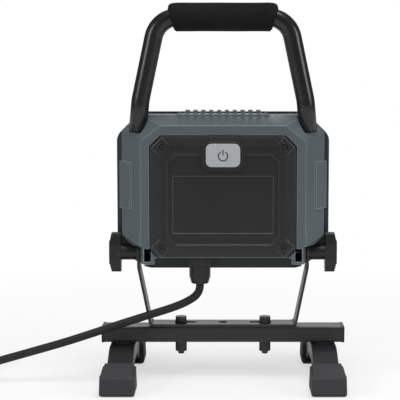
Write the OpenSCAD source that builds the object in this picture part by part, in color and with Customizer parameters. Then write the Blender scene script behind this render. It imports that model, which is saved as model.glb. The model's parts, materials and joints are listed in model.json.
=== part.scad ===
/* [Stand] */
// Length of the cross tube without its end plugs
bar_l = 239; // [215:1:290]
// Depth of the cross tube, front to back
bar_w = 25; // [22:1:30]
// Height of the cross tube
bar_h = 16; // [14:1:20]
// Wall of the steel tubes
tube_t = 1.5; // [1:0.1:2]
// Flange of the plugs that close the cross tube
bar_plug_t = 3; // [2:0.5:5]
// Distance from the middle of the bar to the middle of each leg
leg_x = 101; // [85:1:110]
// Length of a leg over its two foot caps
leg_l = 176; // [150:1:220]
// Width of a leg tube
leg_w = 25; // [22:1:30]
// Height of a leg tube
leg_h = 15; // [13:1:18]
// Height of the arch between the middle of a leg and its ends
leg_rise = 17; // [12:1:24]
// Thickness of the round spacer between leg and bar
spacer_t = 2; // [1.5:0.5:4]
// Length of a foot cap
foot_l = 36; // [30:1:44]
// Wall of a foot cap at its sides
foot_t = 4.6; // [3.5:0.1:6]
// Rubber under the end of a leg
foot_sole = 3; // [2:0.5:5]

/* [Bracket] */
// Thickness of the flat steel
strap_t = 2.5; // [2:0.1:3]
// Width of the flat steel
strap_w = 25; // [22:1:28]
// Half the length of the bracket's flat base
base_x = 73; // [66:1:78]
// Height of the tilt axis above the bar
arm_rise = 74.6; // [66:1:95]
// Distance from the middle to each bolt through bar and bracket
bolt_x = 42.6; // [36:0.2:52]
// Inner end of the slot that each bolt goes through
slot_in = 27; // [22:1:32]
// Diameter of the hole in the middle of base and bar
centre_d = 9; // [7:0.5:10]
// Diameter of the bolts through bar and legs
bolt_d = 6; // [5:1:6]

/* [Head] */
// Width of the front frame
frame_w = 216.8; // [206:0.2:262]
// Height of the front frame above its lower edge
frame_h = 154.7; // [146:0.1:188]
// Depth of the front frame
frame_d = 15; // [13:1:18]
// Front frame's back face in front of the tilt axis
frame_y = 21; // [21:1:25]
// Lower edge of the front frame below the tilt axis
frame_drop = 13.5; // [12:0.5:15]
// How much narrower the rear housing is than the frame, each side
housing_in = 7.4; // [5:0.1:9]
// Depth of the rear housing behind the tilt axis
housing_back = 28; // [26:1:34]
// Depth of the bevel around the rear housing
bevel_d = 20; // [16:1:22]
// Width of the bevel around the rear housing
bevel_w = 19.5; // [16:0.5:22]
// Wall of the rear housing
wall = 3; // [2.5:0.1:3.5]
// Half the distance over the two tilt lugs
lug_x = 82.5; // [80:0.1:84]
// Number of cooling ribs on top
rib_count = 10; // [6:1:12]
// Distance between two cooling ribs
rib_pitch = 7.9; // [6:0.1:8]
// Thickness of the front glass
glass_t = 4; // [3:0.5:5]

/* [Rear cover] */
// Width of the rear cover
cover_w = 142.8; // [136:0.2:148]
// Height of the rear cover
cover_h = 119.2; // [112:0.2:124]
// How far the cover stands behind the housing
cover_out = 3.5; // [3:0.25:4]
// Gap around the cover
cover_gap = 1.3; // [0.5:0.1:2]
// Width of the switch button
button_w = 33.6; // [28:0.2:38]
// Height of the switch button
button_h = 22.9; // [19:0.1:26]
// Travel of the switch button
button_travel = 1.5; // [1:0.1:2]

/* [Handle] */
// Diameter of the handle tube
handle_d = 18; // [16:0.5:20]
// Diameter of the foam grip
grip_d = 28; // [25:0.5:32]
// Length of the foam grip
grip_l = 103; // [90:1:112]
// Height of the handle's middle above the tilt axis
handle_z = 234.4; // [215:1:280]
// Radius of the handle's two upper bends
handle_bend = 25; // [22:1:30]

/* [Knobs] */
// Diameter of the tilt stud
stud_d = 8; // [6:1:8]
// Diameter of a knob's hub
hub_d = 16; // [14:1:18]
// Length of a knob's hub
hub_l = 16.6; // [15:0.2:20]
// Length of a knob's wing
wing_l = 40; // [34:1:40]
// Thickness of a knob's wing
wing_t = 11.6; // [9:0.2:14]

/* [Cable] */
// Diameter of the mains cable
cord_d = 8; // [7:0.5:9]

/* [Hidden] */
$fn = 48;
// Running gap between round pieces that turn or slide
run_gap = 0.05;
// Gap between pieces that are only laid together
fit_gap = 0.15;
// Colours
c_steel = [0.08, 0.08, 0.085];
c_housing = [0.25, 0.29, 0.31];
c_frame = [0.16, 0.19, 0.19];
c_black = [0.1, 0.1, 0.1];
c_rubber = [0.14, 0.14, 0.15];
c_zinc = [0.7, 0.71, 0.72];
c_alu = [0.78, 0.78, 0.8];
// Stand heights, from the floor up
leg_top = foot_sole + leg_h + leg_rise;
bar_z = leg_top + spacer_t;
bar_top = bar_z + bar_h;
pivot_z = bar_top + arm_rise;
// Leg bends: flat middle, slope, flat end inside the cap
leg_flat = bar_w / 2 + 10;
leg_slope = 33;
leg_end = leg_l / 2 - foot_t;
leg_bend_r = 30;
foot_h = foot_sole + leg_h + 1.8;
foot_x = leg_w + 2 * foot_t;
foot_in_h = foot_h + 5;
shoulder_d = 2.6;
spacer_d = 24;
washer_t = 1.6;
nut_t = 11;
bolt_out = 2.6;
hex_af = 10;
head_t = 4.6;
// Bracket and tilt joint, outward from the housing
pivot_washer_t = 1.2;
arm_in = lug_x + pivot_washer_t;
arm_mid = arm_in + strap_t / 2;
arm_bend_z = pivot_z - strap_w / 2 - 2;
arm_over = 8;
arm_sweep = strap_w / 2 + 1.5;
hub_gap = 0.25;
hub_in = arm_in + strap_t + hub_gap;
wing_in = hub_in + hub_l;
wing_out = wing_in + wing_t;
stud_end = 70;
nut_af = 13;
nut_l = 6.5;
pocket_in = 71.4;
// Head heights
frame_z0 = pivot_z - frame_drop;
frame_z1 = frame_z0 + frame_h;
frame_y1 = frame_y + frame_d;
lip_drop = 6.1;
body_x = frame_w / 2 - housing_in;
body_z1 = frame_z1 - 2.4;
body_z0 = pivot_z + 8.5;
floor_z = pivot_z - 3;
lug_z0 = pivot_z - 9;
lug_z1 = pivot_z + 14;
body_cut = 17;
bevel_y = -housing_back + bevel_d;
back_y = -housing_back;
band_x = body_x - bevel_w;
band_z1 = body_z1 - 10.5;
band_cut = [20, 15.8];
// Front opening, glass and reflector share one outline
seat_x = body_x - wall / 2 + 0.3;
seat_z0 = floor_z + wall / 2 - 0.2;
seat_z1 = body_z1 - wall / 2 + 0.2;
seat_mid = (seat_z0 + seat_z1) / 2;
seat_cut = 26;
seat_cut_top = 32;
window_in = 7;
gasket_t = 2.5;
flange_t = 1.5;
glass_y = frame_y + flange_t + gasket_t;
pocket_d = flange_t + gasket_t + glass_t;
// Rear cover, from its seat outward
cover_y = back_y - cover_out;
cover_z0 = floor_z + 1.3;
cover_z1 = cover_z0 + cover_h;
cover_x = cover_w / 2;
cover_cut = 11;
screw_boss = 14;
panel_d = 1.8;
field_x = 49.3;
seat_y = back_y + 5;
rubber_t = 1;
ring_y = back_y + 8;
mouth_x = cover_x - 9.4;
mouth_z0 = cover_z0 + 7;
mouth_z1 = cover_z1 - 6;
mouth_cut = 20;
screw_x = cover_x - 11.4;
screw_in = 10.7;
screw_zs = [cover_z0 + screw_in, cover_z1 - screw_in];
button_z = cover_z1 - 18.2;
button_r = 5.5;
bezel_w = button_w + 9.2;
bezel_h = button_h + 8.4;
button_gap = 0.4;
cap_t = 2.6;
button_y = cover_y - 1.7;
// Heat sink and LED board
sink_y0 = -3;
sink_y1 = 0;
sink_x = body_x - 9;
sink_z0 = lug_z1 + 3;
sink_z1 = body_z1 - 7;
post_x = cover_x + 1.5;
post_zs = [pivot_z + 32, pivot_z + 98];
board_x = 64;
board_h = 42;
board_t = 1.6;
chip = 3;
chip_t = 0.8;
chip_cols = 12;
chip_rows = 7;
chip_pitch_x = 9.6;
chip_pitch_z = 10.4;
// Handle path in the plane of its tube
handle_y = -14;
leg_top_x = 64.2;
leg_mid = [81.6, pivot_z + 152.8];
leg_low = [84.5, pivot_z + 122];
handle_top = pivot_z + handle_z;
// Cable gland under the housing
gland_x = -23.2;
gland_y = -10;
gland_af = 22;
gland_hex_t = 9.2;
gland_thread = 16;
gland_z1 = floor_z - gland_hex_t;
gland_cap_t = 13;
gland_cap_d = 20.6;
gland_tip_t = 5;
gland_tip_d = 17;
gland_z2 = gland_z1 - gland_cap_t;
gland_z3 = gland_z2 - gland_tip_t;
lock_af = 19;
lock_t = 4;
tail_z1 = floor_z + wall + 12;
// Route of the cable from the gland to the coil
cord_route = [
    [-23.2, -10, 97.4], [-23.2, -10, 94], [-24.4, -10.7, 88.9], [-28, -12.1, 84.2],
    [-33.5, -13.6, 80.6], [-41, -15.2, 77], [-51, -17, 73.4], [-62, -18.4, 70],
    [-75, -19.6, 66.1], [-90, -20.6, 61.5], [-105, -21.5, 56.8], [-121, -22.3, 51.6],
    [-137, -23, 46.4], [-154, -23.6, 41], [-171, -24.1, 36], [-188, -24.5, 31.2],
    [-205, -24.8, 26.4], [-222, -25, 21.6], [-239, -25, 16.6], [-255, -25, 11.6],
    [-269, -25, 7.4], [-283, -25, 4.8], [-298, -25, 4.1]
];
// Coil of spare cable on the floor
coil_at = [-304, 27];
coil_r = 44;
coil_w = 24;
coil_h = 24;
// Free end of the cable and its plug
cord_tip = [
    [-356, 27, 20], [-356.4, 36, 20.2], [-357, 45, 20.1], [-358, 53, 19.6], [-359, 60, 19.2], [-360, 66, 19]
];
plug_at = [-360, 66, 19];
sleeve_l = 26;
plug_l = 36;
plug_r = 18.5;
pin_d = 4.8;
pin_l = 19;
pin_x = 9.5;

function unit(v) = v / norm(v);
function turned(p, a) = [p.x * cos(a) - p.y * sin(a), p.x * sin(a) + p.y * cos(a)];

// Arc that rounds the corner b between a and c
function corner(a, b, c, r, n) =
    let (
        u = unit(a - b),
        v = unit(c - b),
        half = acos(max(-1, min(1, u * v))) / 2,
        o = b + unit(u + v) * r / sin(half),
        s = b + u * r / tan(half) - o,
        way = -sign(cross(u, v)) * (180 - 2 * half)
    )
    [for (k = [0:n]) o + turned(s, way * k / n)];

// Closed outline with every corner rounded
function rounded(pts, r, n = 4) =
    let (m = len(pts))
    [for (i = [0:m - 1]) each corner(pts[(i + m - 1) % m], pts[i], pts[(i + 1) % m], r, n)];

// Open path with its inner corners rounded
function bent(pts, r, n = 6) =
    let (m = len(pts) - 1)
    [pts[0], for (i = [1:m - 1]) each corner(pts[i - 1], pts[i], pts[i + 1], r, n), pts[m]];

// Outline of a strip of thickness t along a path
function strip(path, t) =
    let (
        m = len(path) - 1,
        dirs = [for (i = [0:m - 1]) unit(path[i + 1] - path[i])],
        sides = [for (d = dirs) [-d.y, d.x]],
        mids = [for (i = [0:m]) i == 0 ? sides[0] : i == m ? sides[m - 1] : unit(sides[i - 1] + sides[i])],
        grow = [for (i = [0:m]) 1 / (mids[i] * sides[min(i, m - 1)])],
        up = [for (i = [0:m]) path[i] + mids[i] * grow[i] * t / 2],
        down = [for (i = [m:-1:0]) path[i] - mids[i] * grow[i] * t / 2]
    )
    concat(down, up);

// Outline with chamfered corners, wide x either side of the middle
function cut_box(x, z0, z1, top, low) = [
    [-x + low.x, z0], [x - low.x, z0], [x, z0 + low.y], [x, z1 - top.y],
    [x - top.x, z1], [-x + top.x, z1], [-x, z1 - top.y], [-x, z0 + low.y]
];

function round_box(w, h, r, n = 5) =
    rounded([[-w / 2, -h / 2], [w / 2, -h / 2], [w / 2, h / 2], [-w / 2, h / 2]], r, n);

function mirrored(path) = concat([for (i = [len(path) - 1:-1:0]) [-path[i].x, path[i].y]], path);

// Plate whose outline is drawn in X and Z, between two depths
module slab(pts, y0, y1) {
    translate([0, y1, 0])
        rotate([90, 0, 0])
            linear_extrude(y1 - y0)
                polygon(pts);
}

// Solid whose outline is drawn in Y and Z, centred on x = 0
module side_slab(pts, w) {
    translate([-w / 2, 0, 0])
        rotate([90, 0, 90])
            linear_extrude(w)
                polygon(pts);
}

// Cylinder along X between two places
module rod_x(x0, x1, d) {
    translate([x0, 0, 0])
        rotate([0, 90, 0])
            cylinder(h = x1 - x0, d = d);
}

// Cylinder along Y between two depths
module rod_y(y0, y1, d) {
    translate([0, y1, 0])
        rotate([90, 0, 0])
            cylinder(h = y1 - y0, d = d);
}

module both() {
    children();
    mirror([1, 0, 0])
        children();
}

// Hexagonal prism, given its size across flats
module hexagon(af, h) {
    cylinder(h = h, r = af / sqrt(3), $fn = 6);
}

// Tube swept through the points of a route, hollow where a bore is given
module swept(route, d, ref, sides = 10, bore = 0) {
    m = len(route) - 1;
    ways = [for (i = [0:m]) unit(route[min(i + 1, m)] - route[max(i - 1, 0)])];
    count = (m + 1) * sides;
    points = [
        for (size = bore > 0 ? [d, bore] : [d], i = [0:m])
            let (u = unit(cross(ways[i], ref)), v = cross(u, ways[i]))
            for (k = [0:sides - 1])
                route[i] + (u * cos(360 * k / sides) + v * sin(360 * k / sides)) * size / 2
    ];
    skin = [
        for (i = [0:m - 1], k = [0:sides - 1])
            let (a = i * sides + k, b = i * sides + (k + 1) % sides)
            [a, b, b + sides, a + sides]
    ];
    inside = [for (f = skin) [for (k = [3:-1:0]) f[k] + count]];
    rims = [
        for (first = [0, m * sides], k = [0:sides - 1])
            let (a = first + k, b = first + (k + 1) % sides)
            first > 0 ? [a, b, b + count, a + count] : [a + count, b + count, b, a]
    ];
    caps = [[for (k = [sides - 1:-1:0]) k], [for (k = [0:sides - 1]) m * sides + k]];
    polyhedron(points, bore > 0 ? concat(skin, inside, rims) : concat(skin, caps));
}

// ---- Stand ----

function leg_path(end) =
    let (z1 = leg_top - leg_h / 2, z0 = foot_sole + leg_h / 2, y1 = leg_flat, y2 = leg_flat + leg_slope)
    bent([[-end, z0], [-y2, z0], [-y1, z1], [y1, z1], [y2, z0], [end, z0]], leg_bend_r);

module at_bolts() {
    for (s = [-1, 1])
        translate([s * bolt_x, 0, 0])
            children();
}

module at_legs() {
    for (s = [-1, 1])
        translate([s * leg_x, 0, 0])
            children();
}

module crossbar() {
    color(c_steel)
    difference() {
        translate([-bar_l / 2, 0, bar_z + bar_h / 2])
            rotate([90, 0, 90])
                linear_extrude(bar_l)
                    difference() {
                        polygon(round_box(bar_w, bar_h, 2, 3));
                        polygon(round_box(bar_w - 2 * tube_t, bar_h - 2 * tube_t, 0.8, 2));
                    }
        at_bolts()
            translate([0, 0, bar_z - 1])
                cylinder(h = bar_h + 2, d = bolt_d + 0.6);
        translate([0, 0, bar_z - 1])
            cylinder(h = bar_h + 2, d = centre_d);
        at_legs()
            translate([0, 0, bar_z - 1])
                cylinder(h = tube_t + 2, d = bolt_d + 2.3);
    }
}

module bar_plugs() {
    color(c_black)
    both()
        translate([bar_l / 2, 0, bar_z + bar_h / 2])
            rotate([90, 0, 90]) {
                linear_extrude(bar_plug_t)
                    polygon(round_box(bar_w + 0.8, bar_h + 0.8, 2.2, 3));
                translate([0, 0, -8])
                    linear_extrude(8)
                        difference() {
                            polygon(round_box(bar_w - 2 * tube_t - 2 * fit_gap, bar_h - 2 * tube_t - 2 * fit_gap, 0.8, 2));
                            square([bar_w - 4 * tube_t - 1, bar_h - 4 * tube_t - 1], center = true);
                        }
            }
}

module leg_tube() {
    difference() {
        side_slab(strip(leg_path(leg_end), leg_h), leg_w);
        side_slab(strip(leg_path(leg_end + 1), leg_h - 2 * tube_t), leg_w - 2 * tube_t);
        cylinder(h = leg_top + 1, d = bolt_d + 0.6);
        cylinder(h = leg_top - leg_h / 2, d = 14);
    }
}

module leg_left() {
    color(c_steel)
    translate([-leg_x, 0, 0])
        leg_tube();
}

module leg_right() {
    color(c_steel)
    translate([leg_x, 0, 0])
        leg_tube();
}

// Rubber cap on the front end of a leg, its sole on the floor
module foot_cap(side, end) {
    y0 = leg_l / 2 - foot_l;
    y1 = leg_l / 2;
    color(c_rubber)
    translate([side * leg_x, 0, 0])
        mirror([0, end < 0 ? 1 : 0, 0])
            difference() {
                intersection() {
                    side_slab([[y0, 0], [y1 - 3, 0], [y1, 3], [y1, foot_h - 2], [y1 - 2, foot_h], [y0, foot_in_h]],
                        foot_x);
                    slab(rounded([[-foot_x / 2, 0], [foot_x / 2, 0], [foot_x / 2 - 1, foot_in_h],
                        [-foot_x / 2 + 1, foot_in_h]], 3, 4), y0, y1);
                    linear_extrude(foot_in_h)
                        polygon(rounded([[-foot_x / 2, y0], [foot_x / 2, y0], [foot_x / 2, y1],
                            [-foot_x / 2, y1]], 2.5, 4));
                }
                side_slab(strip(leg_path(leg_end + fit_gap), leg_h + 2 * fit_gap), leg_w + 2 * fit_gap);
                side_slab([[y0 - 1, foot_sole], [y0 - 1, foot_sole + 6], [y0 + 7, foot_sole]], leg_w + 2 * fit_gap);
                // lower shoulders beside the leg
                for (s = [-1, 1])
                    translate([s * foot_x / 2, 0, 0])
                        side_slab([[y0 - 1, foot_in_h - shoulder_d], [y1 - 5, foot_h - shoulder_d / 2],
                            [y1 - 5, foot_in_h + 1], [y0 - 1, foot_in_h + 1]], foot_x - leg_w - 4);
            }
}

module foot_cap_left_rear() { foot_cap(-1, -1); }
module foot_cap_left_front() { foot_cap(-1, 1); }
module foot_cap_right_rear() { foot_cap(1, -1); }
module foot_cap_right_front() { foot_cap(1, 1); }

module leg_spacers() {
    color(c_black)
    at_legs()
        translate([0, 0, leg_top])
            difference() {
                cylinder(h = spacer_t, d = spacer_d);
                translate([0, 0, -1])
                    cylinder(h = spacer_t + 2, d = bolt_d + 0.6);
            }
}

// Bolt from inside each leg up into the bar
module leg_bolts() {
    color(c_steel)
    at_legs() {
        translate([0, 0, leg_top - tube_t - head_t])
            hexagon(hex_af, head_t);
        translate([0, 0, leg_top - tube_t])
            cylinder(h = tube_t + spacer_t + 9, d = bolt_d);
    }
}

// Rivet nut in the bar's lower wall above each leg
module leg_nuts() {
    color(c_zinc)
    at_legs()
        difference() {
            union() {
                translate([0, 0, bar_z + 0.2])
                    cylinder(h = tube_t + 6, d = bolt_d + 2.2);
                translate([0, 0, bar_z + tube_t])
                    cylinder(h = 1.5, d = bolt_d + 6);
            }
            cylinder(h = bar_top, d = bolt_d + 2 * run_gap);
        }
}

// ---- Bracket ----

function strap_path() =
    bent([[0, bar_top + strap_t / 2], [base_x, bar_top + strap_t / 2], [arm_mid, arm_bend_z],
        [arm_mid, pivot_z + strap_w / 2]], 4, 5);

module bracket() {
    color(c_steel)
    difference() {
        intersection() {
            slab(strip(mirrored([for (i = [1:len(strap_path()) - 1]) strap_path()[i]]), strap_t),
                -strap_w / 2, strap_w / 2);
            side_slab(rounded([[-strap_w / 2, 0], [strap_w / 2, 0], [strap_w / 2, pivot_z + arm_over],
                [-strap_w / 2, pivot_z + arm_over]], 6, 5), 2 * arm_mid + 40);
        }
        translate([0, 0, bar_top - 1])
            cylinder(h = strap_t + 2, d = centre_d);
        for (s = [-1, 1])
            translate([s * (slot_in + bolt_x + 4) / 2, 0, bar_top - 1])
                linear_extrude(strap_t + 2) {
                    square([bolt_x + 4 - slot_in - bolt_d - 0.6, bolt_d + 0.6], center = true);
                    for (e = [-1, 1])
                        translate([e * (bolt_x + 4 - slot_in - bolt_d - 0.6) / 2, 0])
                            circle(d = bolt_d + 0.6);
                }
        translate([0, 0, pivot_z])
            rod_x(-arm_mid - 20, arm_mid + 20, stud_d + 0.3);
    }
}

module bracket_washers() {
    color(c_steel)
    at_bolts()
        translate([0, 0, bar_top + strap_t])
            difference() {
                cylinder(h = washer_t, d = 2 * bolt_d + 1);
                translate([0, 0, -1])
                    cylinder(h = washer_t + 2, d = bolt_d + 0.4);
            }
}

module bracket_bolts() {
    color(c_steel)
    at_bolts() {
        translate([0, 0, bar_top + strap_t + washer_t])
            rotate([0, 0, 30])
                intersection() {
                    hexagon(hex_af + 1, head_t);
                    cylinder(h = head_t, d1 = 2 * hex_af, d2 = hex_af + 0.6);
                }
        translate([0, 0, bar_z - nut_t - bolt_out])
            cylinder(h = bar_h + strap_t + washer_t + nut_t + bolt_out, d = bolt_d);
    }
}

module bracket_nuts() {
    color(c_steel)
    at_bolts()
        translate([0, 0, bar_z - nut_t])
            difference() {
                union() {
                    translate([0, 0, nut_t - 1.4])
                        cylinder(h = 1.4, d = hex_af + 3.5);
                    hexagon(hex_af, nut_t - 1.4);
                    cylinder(h = nut_t, d = hex_af - 0.8);
                }
                translate([0, 0, -1])
                    cylinder(h = nut_t + 2, d = bolt_d + 2 * run_gap);
            }
}

// ---- Tilt joint ----

module knob() {
    translate([0, 0, pivot_z])
        difference() {
            union() {
                rod_x(hub_in, wing_in + 2, hub_d);
                translate([wing_in, 0, 0])
                    rotate([0, 90, 0])
                        linear_extrude(wing_t)
                            polygon(rounded([[-wing_l / 2, -4.6], [-hub_d / 2, -7.6], [hub_d / 2, -7.6],
                                [wing_l / 2, -4.6], [wing_l / 2, 4.6], [hub_d / 2, 7.6],
                                [-hub_d / 2, 7.6], [-wing_l / 2, 4.6]], 3, 3));
            }
            rod_x(hub_in - 1, wing_in + 2, stud_d + 2 * run_gap);
            for (s = [-1, 1])
                translate([wing_out, 0, s * (wing_l / 2 + 1)])
                    rotate([0, -s * 12, 0])
                        translate([0, 0, s * 5])
                            cube([5, 20, wing_l / 2 + 8], center = true);
        }
}

module knob_left() {
    color(c_black)
    mirror([1, 0, 0])
        knob();
}

module knob_right() {
    color(c_black)
    knob();
}

module knob_stud() {
    translate([0, 0, pivot_z])
        rod_x(stud_end, wing_in + 1.9, stud_d);
}

module knob_stud_left() {
    color(c_zinc)
    mirror([1, 0, 0])
        knob_stud();
}

module knob_stud_right() {
    color(c_zinc)
    knob_stud();
}

module pivot_washers() {
    color(c_black)
    both()
        translate([0, 0, pivot_z])
            difference() {
                rod_x(lug_x, lug_x + pivot_washer_t - run_gap, strap_w - 3);
                rod_x(lug_x - 1, lug_x + pivot_washer_t + 1, stud_d + 0.3);
            }
}

module pivot_nuts() {
    color(c_zinc)
    both()
        translate([pocket_in + 0.2, 0, pivot_z])
            rotate([0, 90, 0])
                rotate([0, 0, 30])
                difference() {
                    hexagon(nut_af - 0.2, nut_l - 0.2);
                    translate([0, 0, -1])
                        cylinder(h = nut_l + 2, d = stud_d + 2 * run_gap);
                }
}

// ---- Housing ----

function body_outline(d) =
    cut_box(body_x - d, body_z0 + d, body_z1 - d, [body_cut - d / 2, body_cut - d / 2], [8, 10]);

function band_outline(d) =
    cut_box(band_x - d, body_z0 + d, band_z1 - d, band_cut, [0.5, 0.5]);

// Bevelled body of the housing, d inside its outer surface
module housing_shape(d) {
    slab(body_outline(d), bevel_y + d / 2, frame_y);
    hull() {
        slab(body_outline(d), bevel_y + d / 2, bevel_y + d / 2 + 0.1);
        slab(band_outline(d), back_y + d, back_y + d + 0.1);
    }
}

function foot_outline() = [
    [-lug_x, lug_z0], [-cover_x - 0.6, lug_z0], [-cover_x - 0.6, floor_z],
    [cover_x + 0.6, floor_z], [cover_x + 0.6, lug_z0], [lug_x, lug_z0],
    [lug_x, lug_z1 + 8], [-lug_x, lug_z1 + 8]
];

function rib_x(i) = (i - (rib_count - 1) / 2) * rib_pitch;

// Raised field of cooling ribs on the housing's top
module top_ribs() {
    rise = 4.4;
    half = rib_count * rib_pitch / 2 - 1;
    difference() {
        slab([[-half - 9, body_z1 - 1], [half + 9, body_z1 - 1], [half + 9, body_z1],
            [half + 1, body_z1 + rise], [-half - 1, body_z1 + rise], [-half - 9, body_z1]], bevel_y, frame_y - 1);
        for (i = [0:rib_count])
            translate([rib_x(i) - rib_pitch / 2, (bevel_y + frame_y) / 2, body_z1 + rise / 2 + 0.8])
                cube([rib_pitch * 0.5, frame_y - bevel_y + 2, rise], center = true);
    }
}

// Raised grip pad on each side of the housing
module side_pads() {
    out = 2.6;
    z0 = pivot_z + 45.5;
    both()
        translate([0, 0, z0])
            linear_extrude(47)
                polygon([[body_x - 6, frame_y - 6], [body_x, frame_y - 3], [body_x + out, frame_y - 6],
                    [body_x + out, bevel_y + 1], [band_x + 11, back_y + 9], [band_x + 8, back_y + 10]]);
}

// Sockets for the handle's ends
module handle_sockets(d) {
    way = leg_mid - leg_low;
    both()
        translate([leg_low.x, handle_y, leg_low.y])
            rotate([0, atan2(way.x, way.y), 0])
                translate([0, 0, -1])
                    cylinder(h = norm(way) + 1, d = d);
}

module rear_housing() {
    color(c_housing)
    difference() {
        union() {
            difference() {
                union() {
                    housing_shape(0);
                    slab(foot_outline(), back_y, frame_y);
                    top_ribs();
                    side_pads();
                }
                housing_shape(wall);
                translate([-pocket_in + 3.4, ring_y, floor_z + wall])
                    cube([2 * pocket_in - 6.8, frame_y - ring_y + 1, 30]);
            }
            // thick ring that carries the cover
            slab(cut_box(cover_x + 3, floor_z, cover_z1 + 3, [cover_cut + 1, cover_cut + 1], [0.5, 0.5]),
                back_y, ring_y);
            // lugs that hold the tilt nuts
            both()
                translate([pocket_in - 3.4, back_y, lug_z0])
                    cube([lug_x - pocket_in + 3.4, frame_y - back_y, lug_z1 - lug_z0]);
            // blocks that back the handle's ends
            both()
                intersection() {
                    housing_shape(0);
                    translate([leg_low.x - 12, back_y, leg_low.y - 16])
                        cube([22, housing_back + 0.5, 40]);
                }
            // bosses for the upper frame screws
            for (p = frame_screw_at)
                translate([p.x, 0, p.y])
                    rod_y(frame_y - 13, frame_y, 8.4);
            // posts for the heat sink
            for (x = [-post_x, post_x], z = post_zs)
                translate([x, 0, z])
                    rod_y(ring_y - 1, sink_y0, 9);
        }
        slab(cut_box(cover_x + cover_gap, cover_z0 - cover_gap, cover_z1 + cover_gap,
            [cover_cut, cover_cut], [cover_cut - 3, cover_cut - 3]), back_y - 1, seat_y);
        slab(cut_box(mouth_x, mouth_z0, mouth_z1, [mouth_cut, mouth_cut], [mouth_cut, mouth_cut]),
            back_y - 1, ring_y + 1);
        for (x = [-screw_x, screw_x], z = screw_zs)
            translate([x, 0, z])
                rod_y(back_y, ring_y + 0.5, 3.6);
        for (x = [-post_x, post_x], z = post_zs)
            translate([x, 0, z])
                rod_y(-14, 0, 3.6);
        both() {
            translate([pocket_in, back_y - 1, pivot_z - nut_af / 2])
                cube([nut_l + 0.2, housing_back + 9, nut_af]);
            translate([0, 0, pivot_z])
                rod_x(pocket_in - 2.4, lug_x + 1, stud_d + 0.3);
            // slant behind the lug, where the arm leans in as the head tilts back
            translate([0, 0, lug_z0 - 1])
                linear_extrude(body_z0 - lug_z0 + 1)
                    polygon([[lug_x + 1, back_y + 15], [lug_x + 1, back_y - 1], [lug_x - 3.6, back_y - 1]]);
            // arch over the arm's end
            translate([0, 0, pivot_z])
                rod_x(lug_x, body_x + 1, 2 * arm_sweep);
        }
        handle_sockets(handle_d + 0.6);
        both()
            translate([leg_low.x, 0, leg_low.y + 5])
                rod_y(handle_y, 0.5, 4.4);
        translate([gland_x, gland_y, floor_z - 1])
            cylinder(h = wall + 2, d = gland_thread + 0.3);
        for (p = frame_screw_at)
            translate([p.x, 0, p.y])
                rod_y(frame_y - 12, frame_y + 1, 3);
    }
}

// ---- Front ----

frame_screw_at = [
    for (x = [-1, 1], at = [[lug_x - 7, pivot_z - 4.5], [body_x - 12, body_z1 - 11]]) [x * at.x, at.y]
];

function seat_outline(d) =
    cut_box(seat_x - d, seat_z0 + d, seat_z1 - d, [seat_cut_top - d * 0.6, seat_cut_top - d * 0.6],
        [seat_cut - d * 0.6, seat_cut - d * 0.6]);

// Outer outline of the front frame, with the guard lip under it
function frame_outline() =
    let (x = frame_w / 2, l = cover_x + 1.6, z = frame_z0)
    concat(
        [[-l, z - 3.2], [-l - 8.4, z - 4.4], [-l - 1, z - lip_drop], [l + 1, z - lip_drop],
            [l + 8.4, z - 4.4], [l, z - 3.2], [l, z], [x - 21, z]],
        corner([x - 21, z], [x, z + 12], [x, frame_z1], 8, 4),
        corner([x, z], [x, frame_z1 - 24.3], [x - 24.3, frame_z1], 14, 4),
        corner([x, frame_z1 - 24.3], [x - 24.3, frame_z1], [-x, frame_z1], 14, 4),
        corner([x, frame_z1], [-x + 24.3, frame_z1], [-x, frame_z1 - 24.3], 14, 4),
        corner([-x + 24.3, frame_z1], [-x, frame_z1 - 24.3], [-x, z], 14, 4),
        corner([-x, frame_z1], [-x, z + 12], [-x + 21, z], 8, 4),
        [[-x + 21, z], [-l, z]]
    );

module front_frame() {
    color(c_frame)
    difference() {
        slab(frame_outline(), frame_y, frame_y1);
        slab(seat_outline(-fit_gap), frame_y - 1, frame_y + pocket_d);
        slab(seat_outline(window_in), frame_y - 1, frame_y1 + 1);
        hull() {
            slab(seat_outline(window_in), frame_y + pocket_d + 1, frame_y + pocket_d + 1.1);
            slab(seat_outline(window_in - 4), frame_y1 + 0.5, frame_y1 + 0.6);
        }
        for (p = frame_screw_at)
            translate([p.x, 0, p.y]) {
                rod_y(frame_y - 1, frame_y1 + 1, 3.6);
                rod_y(frame_y1 - 4, frame_y1 + 1, 7.2);
            }
    }
}

module pan_screw_y(d, head_d, head_h, l) {
    rod_y(-l, 0, d);
    rod_y(0, head_h, head_d);
}

module frame_screws() {
    color(c_zinc)
    for (p = frame_screw_at)
        translate([p.x, frame_y1 - 4, p.y])
            difference() {
                pan_screw_y(2.9, 6.6, 2.6, 20);
                rod_y(1.2, 4, 2.4, $fn = 6);
            }
}

module front_glass() {
    color([0.75, 0.85, 0.85, 0.35])
    slab(seat_outline(0.3), glass_y, glass_y + glass_t);
}

module glass_gasket() {
    color(c_black)
    difference() {
        slab(seat_outline(0.2), frame_y + flange_t, glass_y);
        slab(seat_outline(5.5), frame_y, glass_y + 1);
    }
}

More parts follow.
